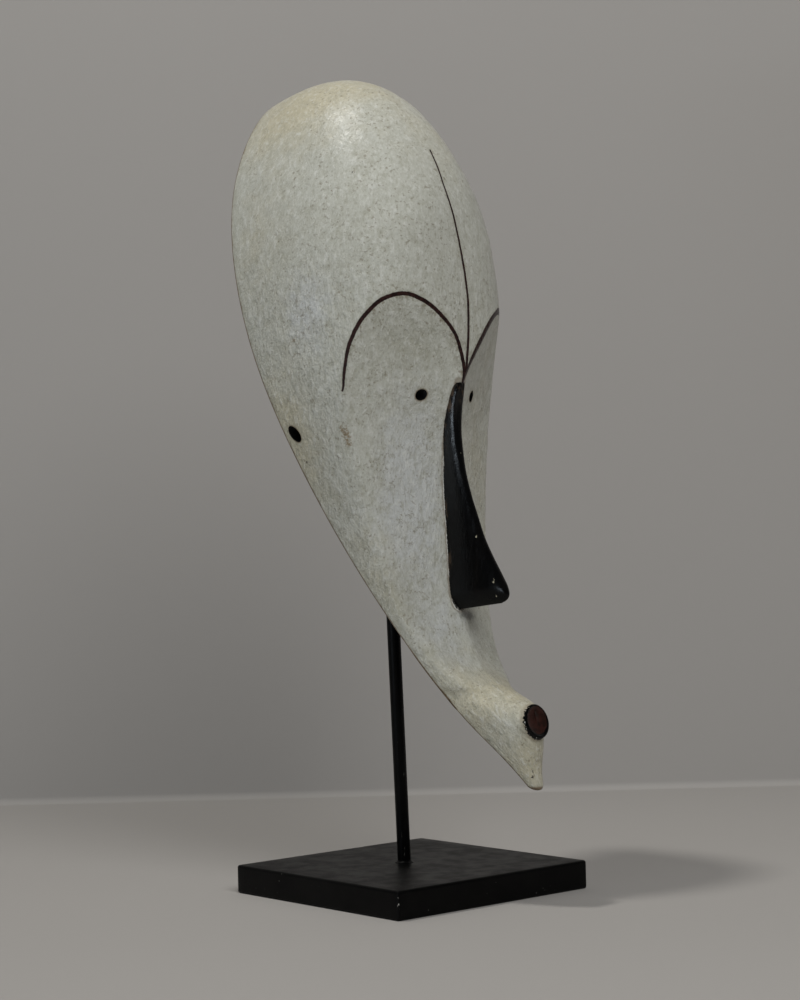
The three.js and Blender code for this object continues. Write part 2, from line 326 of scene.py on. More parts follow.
def chin_rounded(rings, height):
    """The lowest rings drawn in towards their middle, so that the chin ends in a soft edge."""
    short = np.clip(1 - (height - CHIN_HEIGHT) / CHIN_ROUND, 0, 1)
    share = 1 - CHIN_DRAWN_IN * (1 - np.sqrt(1 - short**2))
    middle = rings.mean(axis=1, keepdims=True)
    return middle + (rings - middle) * share[..., None]


# Points of a section before it is resampled, and the steps of the back edge
DENSE = 721
CORNER_STEPS = 4
FLAT_STEPS = 2
BACK_EDGE_COLUMNS = 2 * CORNER_STEPS + FLAT_STEPS


def head_rings(wood):
    """Closed rings of the head: its outside, the rim, the hollow and the rim again."""
    height = ring_heights(wood.rings)
    x, out = section(height, CROWN_HEIGHT, (0, 0))
    half = np.abs(x[:, :1])
    corner = np.minimum(wood.rim_round / MM, half * 0.4)
    out = np.maximum(out, np.minimum(corner, out.max(axis=1, keepdims=True) * 0.5))
    outside = placed(x, out, height)
    outside = cut_to_face(outside, 0, crease_radius(outside[..., 0], outside[..., 2]))
    outside = resampled(outside, wood.columns)

    opening = np.clip((HOLLOW_FLOOR + HOLLOW_FLOOR_ROUND - height) / HOLLOW_FLOOR_ROUND, 0, 1)
    opened = np.maximum(1 - opening**HOLLOW_END, 0) ** (1 / HOLLOW_END)
    walls = (side_wall(height), np.full_like(height, FRONT_WALL))
    x, out = section(height, HOLLOW_CROWN, walls, opened)
    inner_half = np.abs(x[:, :1])
    inside = cut_to_face(placed(x, out, height), FRONT_WALL, HOLLOW_CREASE)
    inside = resampled(inside, wood.hollow_columns)[:, ::-1]

    turn = np.linspace(0, np.pi / 2, CORNER_STEPS + 1)[None, :-1]
    rounding_x = half - corner * (1 - np.sin(turn))
    rounding_out = corner * (1 - np.cos(turn))
    right_corner = placed(-rounding_x, rounding_out, height)
    left_corner = placed(rounding_x, rounding_out, height)[:, ::-1]
    share = np.linspace(0, 1, FLAT_STEPS + 2)[None, 1:-1]
    flat = np.maximum(inner_half + (half - corner - inner_half) * (1 - share), 0)
    left_flat = placed(flat, 0, height)
    right_flat = placed(-flat[:, ::-1], 0, height)
    rings = np.concatenate([right_corner, outside, left_corner, left_flat, inside, right_flat], axis=1)
    rings = chin_rounded(rings, height)
    return np.concatenate([rings, rings[:, :1]], axis=1)


# The left cheek is a little fuller than the right one, from a little beside the middle on
left_cheek = smooth([150, 176, 215, 245, 275, 305, 330], [0, 1.5, 1.9, 1.6, 1, 0.3, 0])
CHEEK_START = 8
CHEEK_RUN_IN = 14
# The unevenness starts at this distance from the rim
RIM_KEPT_EVEN = 3


def unevenness(place, wood):
    """How far a place of the outside stands out: broad swells, soft ripples and fine grain."""
    x, forward, z = place
    swell = noise.noise(place * 0.05)
    ripple = noise.noise(Vector((x * 0.16, forward * 0.16, z * 0.11)) + Vector((7, 3, 1)))
    grain = noise.noise(Vector((x * 0.42, forward * 0.42, z * 0.26)) + Vector((2, 9, 5)))
    broad = wood.tool_marks / MM * (swell * 0.5 - 0.06)
    return broad + wood.brush_marks / MM * (ripple * 0.5 + grain * 0.35)


def worn_by_hand(bm, wood):
    """Presses the soft unevenness of the carver's blade and the brush into the outside."""
    bm.normal_update()
    moves = []
    for vert in bm.verts:
        x, forward, z = vert.co
        if forward > rim_forward_of(z) + RIM_KEPT_EVEN and not is_inside(vert):
            fuller = float(left_cheek(z)) * min(max((x - CHEEK_START) / CHEEK_RUN_IN, 0), 1)
            moves.append((vert, vert.normal * (unevenness(vert.co, wood) + fuller)))
    for vert, move in moves:
        vert.co += move


# The curve of the rim at even heights, which is quicker to look up than the curve
RIM_TABLE_TOP = 600
RIM_TABLE_STEP = 0.5
RIM_TABLE = rim_forward(np.arange(0, RIM_TABLE_TOP, RIM_TABLE_STEP))


def rim_forward_of(z):
    return RIM_TABLE[int(np.clip(z, 0, RIM_TABLE_TOP - 1) / RIM_TABLE_STEP)]


def is_inside(vert):
    """Whether a point belongs to the hollow: its normal points back from the face."""
    inward = vert.normal.x * vert.co.x < 0 and abs(vert.co.x) > 12
    return vert.normal.y < -0.2 or (inward and vert.normal.y < 0.3)


def aimed(place, ahead):
    """The matrix that stands a tool's own upright axis at a place, along a direction."""
    return Matrix.Translation(place) @ ahead.to_track_quat("Z", "Y").to_matrix().to_4x4()


def bar(matrix, radius, length, segments):
    """A closed round bar."""
    bm = bmesh.new()
    bmesh.ops.create_cone(bm, cap_ends=True, segments=segments, radius1=radius, radius2=radius, depth=length,
                          matrix=matrix)
    return bm


def drilled(spot, side):
    """A drill for one round or oval hole, whose upper end leans back."""
    ahead = Vector((side * math.sin(spot["turn"]), math.cos(spot["turn"]), 0))
    turned = aimed((side * spot["side"], spot["forward"], spot["height"]), ahead)
    turned @= Matrix.Rotation(side * spot["lean"], 4, "Z")
    turned @= Matrix.Diagonal((spot["width"] / 2, spot["length"] / 2, 1, 1))
    return bar(turned, 1, 2 * DRILL_REACH, 40)


def bare(bm):
    """Marks the faces that a tool leaves as bare wood."""
    for face in bm.faces:
        face.material_index = BARE
    return bm


# The nose's underside rises towards the tip and is rounded below this height
NOSE_UNDER = 179.5
NOSE_RISE_REACH = 60


def nose_solid():
    """The nose: upright flanks, a rounded ridge and a rounded underside that rises to the tip."""
    rows, columns = 90, 41
    share = np.linspace(0, 1, rows)[:, None] ** 1.7
    z = NOSE_HEIGHTS[0] + (NOSE_HEIGHTS[-1] - NOSE_HEIGHTS[0]) * share
    back = ridge_forward(z) - NOSE_ROOT
    across, out = half_round(columns, NOSE_SQUARE)
    out = (nose_forward(z) - back) * out
    turned_under = 1 - 0.5 * np.clip((NOSE_UNDER - z) / (NOSE_UNDER - NOSE_HEIGHTS[0]), 0, 1) ** 1.6
    lift = NOSE_RISE * np.maximum(0, 1 - (z - NOSE_HEIGHTS[0]) / NOSE_RISE_REACH)
    x = nose_half_width(z) * turned_under * across
    points = np.stack(np.broadcast_arrays(x, back + out, z + lift * out), -1)
    return laid_grid(np.concatenate([points, points[:, :1]], axis=1))


# The dish of the mouth, as shares of its radius and depths
MOUTH_DISH = ((0.86, 0.1), (0.82, 0.5), (0.76, 0.85), (0.66, 1.1), (0.45, 1.35), (0.2, 1.5), (0, 1.5))


def mouth_solid():
    """The mouth: the short turned end of the snout, with a dished disc whose edge is softened."""
    profile = [(0, -MOUTH_LENGTH), (MOUTH_FLARE, -MOUTH_LENGTH), (MOUTH_RADIUS + 2, -7.5),
               (MOUTH_RADIUS + 0.9, -4.5), (MOUTH_RADIUS + 0.3, -2.6), (MOUTH_RADIUS, -1.4)]
    profile += [(MOUTH_RADIUS - MOUTH_EDGE * (1 - math.cos(t)), -MOUTH_EDGE * (1 - math.sin(t)))
                for t in (math.pi / 6, math.pi / 3, math.pi / 2)]
    profile += [(MOUTH_RADIUS * share, -deep) for share, deep in MOUTH_DISH]
    bm = spun(profile, 64)
    bmesh.ops.remove_doubles(bm, verts=bm.verts, dist=SAME_PLACE)
    bmesh.ops.recalc_face_normals(bm, faces=bm.faces)
    bm.transform(aimed((0, *MOUTH_CENTRE), Vector((0, math.cos(MOUTH_TILT), math.sin(MOUTH_TILT)))))
    return bm


def rod_solid(foot, top, diameter, segments):
    """A round bar along the rod's line, between two heights."""
    lean = Vector((0, -math.sin(ROD_LEAN), math.cos(ROD_LEAN)))
    middle = Vector((0, -math.tan(ROD_LEAN) * (top + foot) / 2, (top + foot) / 2))
    return bar(aimed(middle, lean), diameter / 2, (top - foot) / math.cos(ROD_LEAN), segments)


def as_object(bm, name, materials=()):
    """A new object with the bmesh's faces and the materials they name, in the scene."""
    mesh = bpy.data.meshes.new(name)
    bm.to_mesh(mesh)
    bm.free()
    for material in materials:
        mesh.materials.append(material)
    piece = bpy.data.objects.new(name, mesh)
    bpy.context.scene.collection.objects.link(piece)
    return piece


def joined_and_cut(piece, added, removed):
    """The piece with the added solids joined on and the removed ones cut out."""
    for operation, solids in (("UNION", added), ("DIFFERENCE", removed)):
        group = bpy.data.collections.new("operands")
        for solid in solids:
            bpy.context.scene.collection.objects.unlink(solid)
            group.objects.link(solid)
        bpy.context.scene.collection.children.link(group)
        modifier = piece.modifiers.new("join", "BOOLEAN")
        modifier.operation = operation
        modifier.operand_type = "COLLECTION"
        modifier.collection = group
        modifier.solver = "EXACT"
        graph = bpy.context.evaluated_depsgraph_get()
        mesh = bpy.data.meshes.new_from_object(piece.evaluated_get(graph))
        piece.modifiers.remove(modifier)
        old = piece.data
        piece.data = mesh
        bpy.data.meshes.remove(old)
        for solid in solids:
            spent = solid.data
            bpy.data.objects.remove(solid)
            bpy.data.meshes.remove(spent)
        bpy.data.collections.remove(group)
    bm = bmesh.new()
    bm.from_mesh(piece.data)
    bmesh.ops.triangulate(bm, faces=bm.faces)
    bmesh.ops.remove_doubles(bm, verts=bm.verts, dist=SAME_PLACE_JOINED)
    bmesh.ops.dissolve_degenerate(bm, edges=bm.edges, dist=SAME_PLACE_JOINED / 3)
    bm.to_mesh(piece.data)
    bm.free()


# The neck of the mouth, along its axis, and how far it reaches out beyond the flare
MOUTH_NECK = (-15, -1.6)
MOUTH_NECK_REACH = 5


def soften_mouth(mesh, wood):
    """Smooths the snout into the neck of the mouth, behind the edge of its disc."""
    bm = bmesh.new()
    bm.from_mesh(mesh)
    points = np.array([vert.co[:] for vert in bm.verts])
    along, radius, _ = about_mouth(points)
    chosen = (along > MOUTH_NECK[0]) & (along < MOUTH_NECK[1]) & (radius < MOUTH_FLARE + MOUTH_NECK_REACH)
    near = [vert for vert, picked in zip(bm.verts, chosen) if picked]
    for _ in range(wood.mouth_smoothing):
        bmesh.ops.smooth_vert(bm, verts=near, factor=0.5, use_axis_x=True, use_axis_y=True, use_axis_z=True)
    bm.to_mesh(mesh)
    bm.free()


# Painted places, measured on the finished mesh


# What a measure says where it isn't taken, and the greatest distance from a hole that counts
FAR = 99.0
FAR_FROM_HOLE = 30
# A place that is out in front of the whole head
OUT_FRONT = 200
# How far forward and how far below their ends the brow arches are measured
BROW_FORWARD = -60
BROW_BELOW = 12
# The nose starts where it stands this far out of the face
NOSE_PROUD = 0.7
# How far behind the mouth's edge its ring is measured
MOUTH_BEHIND = 12
# The eye holes are measured this far forward, and the side holes this far to the side
EYES_FORWARD = 20
SIDE_HOLES_OUT = 45


def spline(points, step=0.5):
    """A dense smooth line through points, by chord length."""
    points = np.array(points, float)
    along = np.concatenate([[0], np.cumsum(np.linalg.norm(np.diff(points, axis=0), axis=1))])
    even = np.arange(0, along[-1], step)
    return np.stack([smooth(along, points[:, axis])(even) for axis in range(points.shape[1])], -1)


def on_surface(tree, line):
    """Side and height points moved to the front surface of the head."""
    found = []
    for x, z in line:
        hit, _, _, _ = tree.ray_cast(Vector((x, OUT_FRONT, z)), Vector((0, -1, 0)))
        if hit:
            found.append(hit)
    return np.array(found)


def beside_line(points, line):
    """Each point's distance to a dense line, less than 0 on its right side, and how far along that is."""
    nearest = np.full(len(points), 1e9)
    spot = np.zeros(len(points), int)
    for i, place in enumerate(line):
        apart = ((points - place) ** 2).sum(axis=1)
        closer = apart < nearest
        nearest[closer] = apart[closer]
        spot[closer] = i
    ahead = np.gradient(line, axis=0)[spot]
    away = points - line[spot]
    left = ahead[:, 0] * away[:, 2] - ahead[:, 2] * away[:, 0]
    return np.sqrt(nearest) * np.where(left < 0, -1, 1), spot / (len(line) - 1)


def beside_brows(points, tree):
    """How far each point is outside its painted brow arch, less than 0 inside, and half the line's width."""
    x, forward, z = points.T
    beside = np.full(len(points), -FAR)
    width = np.zeros(len(points))
    for brow, side, breadth in ((RIGHT_BROW, -1, 1.0), (LEFT_BROW, 1, LEFT_LINE_BREADTH)):
        near = (x * side >= 0) & (forward > BROW_FORWARD) & (z > BROW_BOTTOM - BROW_BELOW)
        away, share = beside_line(points[near], on_surface(tree, spline(brow)))
        beside[near] = away * side
        width[near] = np.interp(share, *BROW_WIDTHS) * breadth
    return beside, width


def nose_edge(points):
    """Distance from the foot of the nose, in millimetres: outside it positive, on the nose negative."""
    x, forward, z = points.T
    bottom, top = NOSE_HEIGHTS[0], NOSE_HEIGHTS[-1]
    level = np.clip(z, bottom, top)
    beside = np.maximum(np.abs(x) - nose_half_width(level), 0)
    away = np.hypot(beside, z - level)
    proud = forward - face_forward(x, level)
    on_nose = (proud > NOSE_PROUD) & (beside < 1.0) & (z > bottom - 1) & (z < top + 6)
    return np.where(on_nose, -np.maximum(proud - NOSE_PROUD, 0.05), np.maximum(away, 0.05))


def about_mouth(points):
    """How far along the mouth's axis, how far from it and how far above it points lie."""
    x, forward, z = points.T
    ahead = forward - MOUTH_CENTRE[0]
    above = z - MOUTH_CENTRE[1]
    along = ahead * math.cos(MOUTH_TILT) + above * math.sin(MOUTH_TILT)
    up = above * math.cos(MOUTH_TILT) - ahead * math.sin(MOUTH_TILT)
    return along, np.hypot(x, up), up


def mouth_ring(points):
    """Distance from the middle of the mouth over its edge, in millimetres, and how low on the ring it is."""
    along, radius, up = about_mouth(points)
    low = (-up - 0.5 * points[:, 0]) / np.maximum(radius, 1e-6)
    reached = radius + 0.7 * np.maximum(-along - 0.9, 0)
    return np.where(along > -MOUTH_BEHIND, reached, FAR), low


def blot(points, centre, size):
    """A soft round weight about a place, 1 in the middle."""
    apart = ((points - np.array(centre)) / np.array(size)) ** 2
    return np.exp(-apart.sum(axis=1))


def hole_gap(across, up, spot):
    """Distance from the edge of an oval hole, in millimetres, less than 0 in it."""
    lean = spot["lean"]
    wide = (across * math.cos(lean) + up * math.sin(lean)) / (spot["width"] / 2)
    tall = (up * math.cos(lean) - across * math.sin(lean)) / (spot["length"] / 2)
    return np.minimum((np.hypot(wide, tall) - 1) * (spot["width"] + spot["length"]) / 4, FAR_FROM_HOLE)


# Chips on the ridge of the nose and dark spots on the paint, as side, forward and height
NOSE_CHIPS = [(-1, 53, 262), (-2, 66, 213), (-3, 79, 187), (-4, 81, 178)]
DARK_SPOTS = [(-3.8, 106, 78.2), (-4.3, 105.7, 75), (-48.5, 17.2, 428.4), (-11.9, 53.9, 392.1),
              (-33.2, 52.5, 359.9), (-20, 48, 176), (-22, 48, 172)]

# Soft round patches of the paint and of painted shade and reflection, as weight, place and size
PATCHES = {
    "warm": [(0.9, (-45, -50, 475), (45, 50, 30)), (0.5, (0, 0, 488), (70, 60, 14)),
             (0.5, (-76, -40, 420), (14, 30, 60)), (0.4, (10, 30, 455), (30, 30, 22)),
             (0.8, (-30, 60, 105), (40, 50, 40)), (1.1, (-68, -22, 258), (18, 24, 50)),
             (0.8, (8, 90, 128), (22, 22, 16)), (0.8, (0, 104, 80), (16, 16, 16)),
             (0.4, (40, 30, 250), (25, 40, 90)), (0.5, (-45, 22, 175), (20, 20, 50))],
    # The cool patches are a painted reflection: a bluish sheen of the cool light at the left, on the near
    # side
    "cool": [(0.9, (-71, 0, 348), (30, 18, 28)), (0.2, (-25, 42, 318), (26, 30, 30)),
             (1.1, (-26, 40, 240), (26, 34, 58)), (0.7, (-20, 56, 158), (26, 40, 28))],
    # The patch under the nose is a painted shadow
    "smudge": [(1, (9, 49, 166), (9, 9, 4.5)), (0.6, (0, 51, 168), (6, 8, 3))],
    "stain": [(1, (-61.5, 19.5, 273), (3, 3, 4.5)), (0.8, (-63.5, 18, 278), (2.5, 3, 2.5)),
              (0.9, (-60, 20.7, 268.5), (2.2, 2.5, 2.2)), (0.9, (-74, -9.8, 330.3), (2, 1.7, 1.7)),
              (0.8, (-46, -78, 453), (4, 2.5, 5))],
    "speckled": [(1, (-35, 40, 405), (40, 60, 42)), (0.5, (-20, 50, 460), (40, 40, 20))],
    "dark_spot": [(1, place, (1.3, 1.6, 1.4)) for place in DARK_SPOTS],
    # Painted shade: patches darkened where less light falls, under the right brow, on the right cheek and
    # snout, the right side and the chin
    "greyed": [(0.7, (-38, 36, 171), (20, 22, 30)), (0.6, (-27, 57, 141), (17, 20, 17)),
               (0.6, (-33, 45, 324), (32, 30, 28)), (0.35, (-62, -14, 265), (22, 26, 40)),
               (0.35, (-72, -25, 390), (20, 26, 30)), (0.35, (0, 98, 80), (14, 14, 12))],
    "chip": [(1, place, (1.6, 1.6, 2.4)) for place in NOSE_CHIPS],
}


def store(mesh, **marks):
    """Keeps values at the mesh's points, for a material to read by name."""
    for name, values in marks.items():
        layer = mesh.attributes.new(name, "FLOAT", "POINT")
        layer.data.foreach_set("value", np.asarray(values, np.float32))


def mark_painted_places(mesh):
    """Stores where the paint, the lines, the wear, the stains and specks, and the painted shade, shadow and
    cool reflection are.
    """
    points = np.array([vert.co[:] for vert in mesh.vertices])
    x, forward, z = points.T
    tree = BVHTree.FromPolygons([v.co for v in mesh.vertices], [tuple(p.vertices) for p in mesh.polygons])
    beside, width = beside_brows(points, tree)
    reached, low = mouth_ring(points)
    eye_gap = hole_gap(np.abs(x) - EYE["side"], z - EYE["height"], EYE)
    side_gap = hole_gap(forward - SIDE_HOLE["forward"], z - SIDE_HOLE["height"], SIDE_HOLE)
    eye_gap[forward <= EYES_FORWARD] = FAR_FROM_HOLE
    side_gap[np.abs(x) <= SIDE_HOLES_OUT] = FAR_FROM_HOLE
    store(mesh, beside_brow=beside, brow_width=width, beside_median=x - median_side(z),
          nose_edge=nose_edge(points), mouth_radius=reached, mouth_low=low,
          rim_gap=forward - rim_forward(z), hole_gap=np.minimum(eye_gap, side_gap))
    for name, patches in PATCHES.items():
        total = sum(weight * blot(points, place, size) for weight, place, size in patches)
        store(mesh, **{name: np.clip(total, 0, 1)})


# Materials


class Nodes:
    """Short names for the nodes of one material."""

    def __init__(self, name, colour):
        self.colour = colour
        self.material = bpy.data.materials.new(name)
        self.material.use_nodes = True
        self.tree = self.material.node_tree
        self.shader = self.tree.nodes["Principled BSDF"]
        self.place = self.tree.nodes.new("ShaderNodeTexCoord").outputs["Object"]

    def put(self, socket, value):
        if isinstance(value, bpy.types.NodeSocket):
            self.tree.links.new(value, socket)
        elif value is not None:
            socket.default_value = value

    def attribute(self, name):
        node = self.tree.nodes.new("ShaderNodeAttribute")
        node.attribute_name = name
        return node.outputs["Fac"]

    def mapped(self, size, stretch, turn):
        """The place on the object in cells of a size in millimetres, stretched along turned axes."""
        node = self.tree.nodes.new("ShaderNodeMapping")
        node.vector_type = "TEXTURE"
        self.put(node.inputs["Vector"], self.place)
        node.inputs["Scale"].default_value = tuple(size * MM * s for s in stretch)
        node.inputs["Rotation"].default_value = turn
        return node.outputs["Vector"]

    def height(self):
        """The height above the floor, in millimetres."""
        apart = self.tree.nodes.new("ShaderNodeSeparateXYZ")
        self.put(apart.inputs[0], self.place)
        return self.math("DIVIDE", apart.outputs[2], MM)

    def noise(self, size, detail=3.0, rough=0.55, stretch=(1, 1, 1), turn=(0, 0, 0)):
        """Noise from 0 to 1 whose lumps are about a size in millimetres."""
        node = self.tree.nodes.new("ShaderNodeTexNoise")
        self.put(node.inputs["Vector"], self.mapped(size, stretch, turn))
        node.inputs["Scale"].default_value = 1.0
        node.inputs["Detail"].default_value = detail
        node.inputs["Roughness"].default_value = rough
        return node.outputs["Fac"]

    def ragged(self, size, reach):
        """Noise in millimetres about 0, to fray an edge with."""
        return self.math("MULTIPLY", self.math("SUBTRACT", self.noise(size, 4), 0.5), reach)

    def dots(self, size, stretch=(1, 1, 1)):
        """Distance to the middle of the nearest cell, in cell widths."""
        node = self.tree.nodes.new("ShaderNodeTexVoronoi")
        self.put(node.inputs["Vector"], self.mapped(size, stretch, (0, 0, 0)))
        node.inputs["Scale"].default_value = 1.0
        return node.outputs["Distance"]

    def math(self, operation, a, b=None, c=None):
        node = self.tree.nodes.new("ShaderNodeMath")
        node.operation = operation
        for socket, value in zip(node.inputs, (a, b, c)):
            self.put(socket, value)
        return node.outputs[0]

    def total(self, first, *others):
        for other in others:
            first = self.math("ADD", first, other)
        return first

    def product(self, first, *others):
        for other in others:
            first = self.math("MULTIPLY", first, other)
        return first

    def plus(self, value, other, amount):
        """A value with an amount of another added to it."""
        return self.math("MULTIPLY_ADD", other, amount, value)

    def blend(self, share, a, b):
        """A number between two, by a share."""
        return self.math("MULTIPLY_ADD", self.math("SUBTRACT", b, a), share, a)

    def ramp(self, value, start, end, low=0.0, high=1.0):
        """A value eased from low at the start to high at the end."""
        node = self.tree.nodes.new("ShaderNodeMapRange")
        node.interpolation_type = "SMOOTHSTEP"
        self.put(node.inputs["Value"], value)
        for name, number in zip(("From Min", "From Max", "To Min", "To Max"), (start, end, low, high)):
            node.inputs[name].default_value = number
        return node.outputs["Result"]

    def mix(self, share, under, over):
        node = self.tree.nodes.new("ShaderNodeMix")
        node.data_type = "RGBA"
        self.put(node.inputs[0], share)
        for socket, colour in ((node.inputs[6], under), (node.inputs[7], over)):
            self.put(socket, colour if isinstance(colour, bpy.types.NodeSocket) else (*colour[:3], 1.0))
        return node.outputs[2]

    def coat(self, colour, share, *eased):
        """Lays a colour over the coats below it, by a share or by a value that is eased into one."""
        self.colour = self.mix(self.ramp(share, *eased) if eased else share, self.colour, colour)

    def bump(self, height, depth):
        """Relief of a depth in millimetres."""
        node = self.tree.nodes.new("ShaderNodeBump")
        node.inputs["Strength"].default_value = 1.0
        node.inputs["Distance"].default_value = depth * MM
        self.put(node.inputs["Height"], height)
        return node.outputs["Normal"]

    def finished(self, roughness, gloss, relief=None):
        """The material, with its coats, its gloss and its relief."""
        for name, value in (("Base Color", self.colour), ("Roughness", roughness),
                            ("Specular IOR Level", gloss), ("Normal", relief)):
            self.put(self.shader.inputs[name], value)
        return self.material


# The streaks of the snout run down and forward, along its back edge
SNOUT_STREAKS = (math.radians(-38), 0, 0)
# Between these heights the black of the nose ends
NOSE_BLACK_ENDS = (301, 307)


def painted_wood(paint):
    """Cream kaolin paint on carved wood, with painted lines, a black nose, wear, grime, painted shade and
    highlights.
    """
    n = Nodes("painted_wood", paint.cream)
    up = n.height()
    frayed = n.ragged(3.5, 1)
    frayed_small = n.ragged(1.1, 1)
    # The relief of the paint: soft wrinkles that run down the face and along the snout, and fine crumple
    down_face = n.noise(2.7, 3, 0.6, (1, 1, 2))
    along_snout = n.noise(2.4, 3, 0.6, (1, 1, 3.2), SNOUT_STREAKS)
    wrinkle = n.blend(n.ramp(up, 130, 195, 1, 0), down_face, along_snout)
    crumple = n.noise(1.15, 3, 0.6, (1, 1, 1.6))
    # Cream, mottled at three sizes, with a painted cool reflection and patches of painted shade
    n.coat(paint.warm_cream, n.total(n.attribute("warm"), n.ragged(34, 0.5), n.ragged(11, 0.7)), 0, 1)
    # A painted reflection: a bluish sheen of the cool light on the near side
    n.coat(paint.cool_sheen, n.total(n.attribute("cool"), n.ragged(8, 1)), 0.2, 0.95, 0, 0.75)
    n.coat(paint.dirt_and_shade, n.noise(9, 4, 0.6), 0.48, 0.75, 0, 0.3)
    face = n.ramp(up, 330, 430, 1, 0.35)
    n.coat(paint.dirt_and_shade, n.product(n.ramp(n.noise(4.4, 3, 0.6, (1, 1, 1.4)), 0.48, 0.68, 0, 0.42), face))
    # Painted shade in patches where less light falls
    n.coat(paint.dirt_and_shade, n.total(n.attribute("greyed"), n.ragged(14, 0.35)), 0.1, 1, 0, 0.62)
    # Grime and painted shade in the valleys of the wrinkles, and chalky grains with a painted highlight on
    # their tops
    n.coat(paint.dirt_and_shade, wrinkle, 0.3, 0.48, paint.valley_dirt_and_shade, 0)
    n.coat(paint.dirt_and_shade, crumple, 0.3, 0.48, paint.valley_dirt_and_shade, 0)
    n.coat(paint.chalk_and_highlight, wrinkle, 0.52, 0.7, 0, 0.45)
    n.coat(paint.chalk_and_highlight, crumple, 0.54, 0.7, 0, 0.4)
    # Fine brown specks and strokes, in drifts, and a few dark ones
    drift = n.ramp(n.plus(n.noise(22, 3), n.attribute("speckled"), 0.17), 0.47, 0.63, 0.1, 1)
    speck = n.ramp(n.noise(1.9, 2, 0.5, (1.2, 1.2, 1)), 0.6, 0.67)
    n.coat(paint.specks, n.product(speck, drift, 0.45))
    fine = n.ramp(n.noise(1.4, 2, 0.5), 0.6, 0.67)
    n.coat(paint.specks, n.product(fine, n.ramp(n.noise(9, 3), 0.42, 0.6), face, 0.5))
    n.coat(paint.specks, n.noise(1.7, 3, 0.6, (1, 1, 3.5)), 0.64, 0.72, 0, 0.4)
    n.coat(paint.dark_specks, n.dots(23, (1, 1, 1.2)), 0.018, 0.032, 0.8, 0)
    n.coat(paint.dark_specks, n.plus(n.attribute("dark_spot"), frayed_small, 0.9), 0.6, 0.85)
    # Dirt in the crease round the nose, paint rubbed pale at its foot, a painted shadow under the nose, and
    # stains
    nose = n.attribute("nose_edge")
    n.coat(paint.stain, n.plus(nose, frayed, 2.4), 0.7, 2, 0.55, 0)
    foot = n.product(n.ramp(n.total(nose, frayed_small), 0.4, 0.8, 1, 0), n.ramp(up, 285, 265))
    n.coat(paint.chalk_and_highlight, n.product(foot, n.ramp(n.noise(9, 3), 0.42, 0.58)))
    # A painted shadow right under the lower end of the nose
    smudge = n.plus(n.plus(n.attribute("smudge"), frayed, 1.1), frayed_small, 0.8)
    n.coat(paint.nose_shadow_grey, smudge, 0.25, 1.1, 0, 0.7)
    n.coat(paint.rust, n.plus(n.attribute("stain"), frayed_small, 1.6), 0.3, 0.9, 0, 0.8)
    # The back edge and the end of the chin are worn brown
    rim = n.plus(n.attribute("rim_gap"), frayed, 1.2)
    n.coat(paint.dirt_and_shade, rim, 1, 9, 0.25, 0)
    n.coat(paint.stain, rim, 0.7, 1.7, 0.9, 0)
    n.coat(paint.stain, n.total(up, frayed), CHIN_HEIGHT + 1.6, CHIN_HEIGHT + 3.4, 0.9, 0)
    # The mouth: yellowed surround, ragged black ring with painted highlights on its lower side, and dark red
    # disc
    reach = n.attribute("mouth_radius")
    low = n.attribute("mouth_low")
    n.coat(paint.warm_cream, reach, 11, 18, 0.5, 0)
    n.coat(paint.stain, n.plus(reach, frayed, 5), 11, 14, 0.4, 0)
    black_ring = n.ramp(n.plus(n.plus(reach, low, -0.5), frayed_small, 4), 10.6, 11, 1, 0)
    n.coat(paint.black, black_ring)
    # Painted highlights: pale glints on the lower part of the black ring
    on_ring = n.product(n.ramp(low, 0.1, 0.7), n.ramp(reach, 9.4, 10.2), n.ramp(reach, 12.4, 11.6))
    n.coat(paint.chalk_and_highlight, n.product(n.ramp(n.noise(1.3, 2, 0.5), 0.62, 0.67), on_ring, 0.8))
    disc_red = n.mix(n.ramp(n.noise(4, 4), 0.35, 0.7), paint.mouth_red, paint.mouth_brown)
    n.coat(disc_red, n.plus(n.plus(reach, low, 0.7), frayed_small, 1.6), 7.7, 8.4, 1, 0)
    # Painted lines: the one up the forehead and the brow arches, with grime under the arches
    wavy = n.math("ABSOLUTE", n.total(n.attribute("beside_median"), n.ragged(12, 0.7)))
    median = n.math("SUBTRACT", wavy, n.ramp(up, MEDIAN_BOTTOM, MEDIAN_TOP, 0.95, 0.5))
    median = n.math("MAXIMUM", median, n.math("SUBTRACT", up, MEDIAN_TOP))
    median = n.math("MAXIMUM", median, n.math("SUBTRACT", MEDIAN_BOTTOM, up))
    beside = n.attribute("beside_brow")
    brow = n.math("SUBTRACT", n.math("ABSOLUTE", beside), n.attribute("brow_width"))
    brow = n.math("MAXIMUM", brow, n.math("SUBTRACT", BROW_BOTTOM, up))
    line = n.math("MINIMUM", median, brow)
    under_brow = n.product(n.ramp(beside, -7, -1, 0, 0.7), n.ramp(beside, 0, 1.5, 1, 0))
    grime = n.ramp(n.noise(3.2, 4, 0.65), 0.5, 0.62)
    n.coat(paint.specks, n.product(under_brow, grime, n.ramp(up, 300, 330)))
    frayed_line = n.plus(line, frayed_small, 0.6)
    n.coat(paint.dirt_and_shade, frayed_line, 0.2, 2.4, 0.3, 0)
    lines = n.ramp(frayed_line, -0.05, 0.3, 1, 0)
    n.coat(n.mix(n.ramp(n.noise(2.2, 3), 0.4, 0.65), paint.line, paint.line_dark), lines)
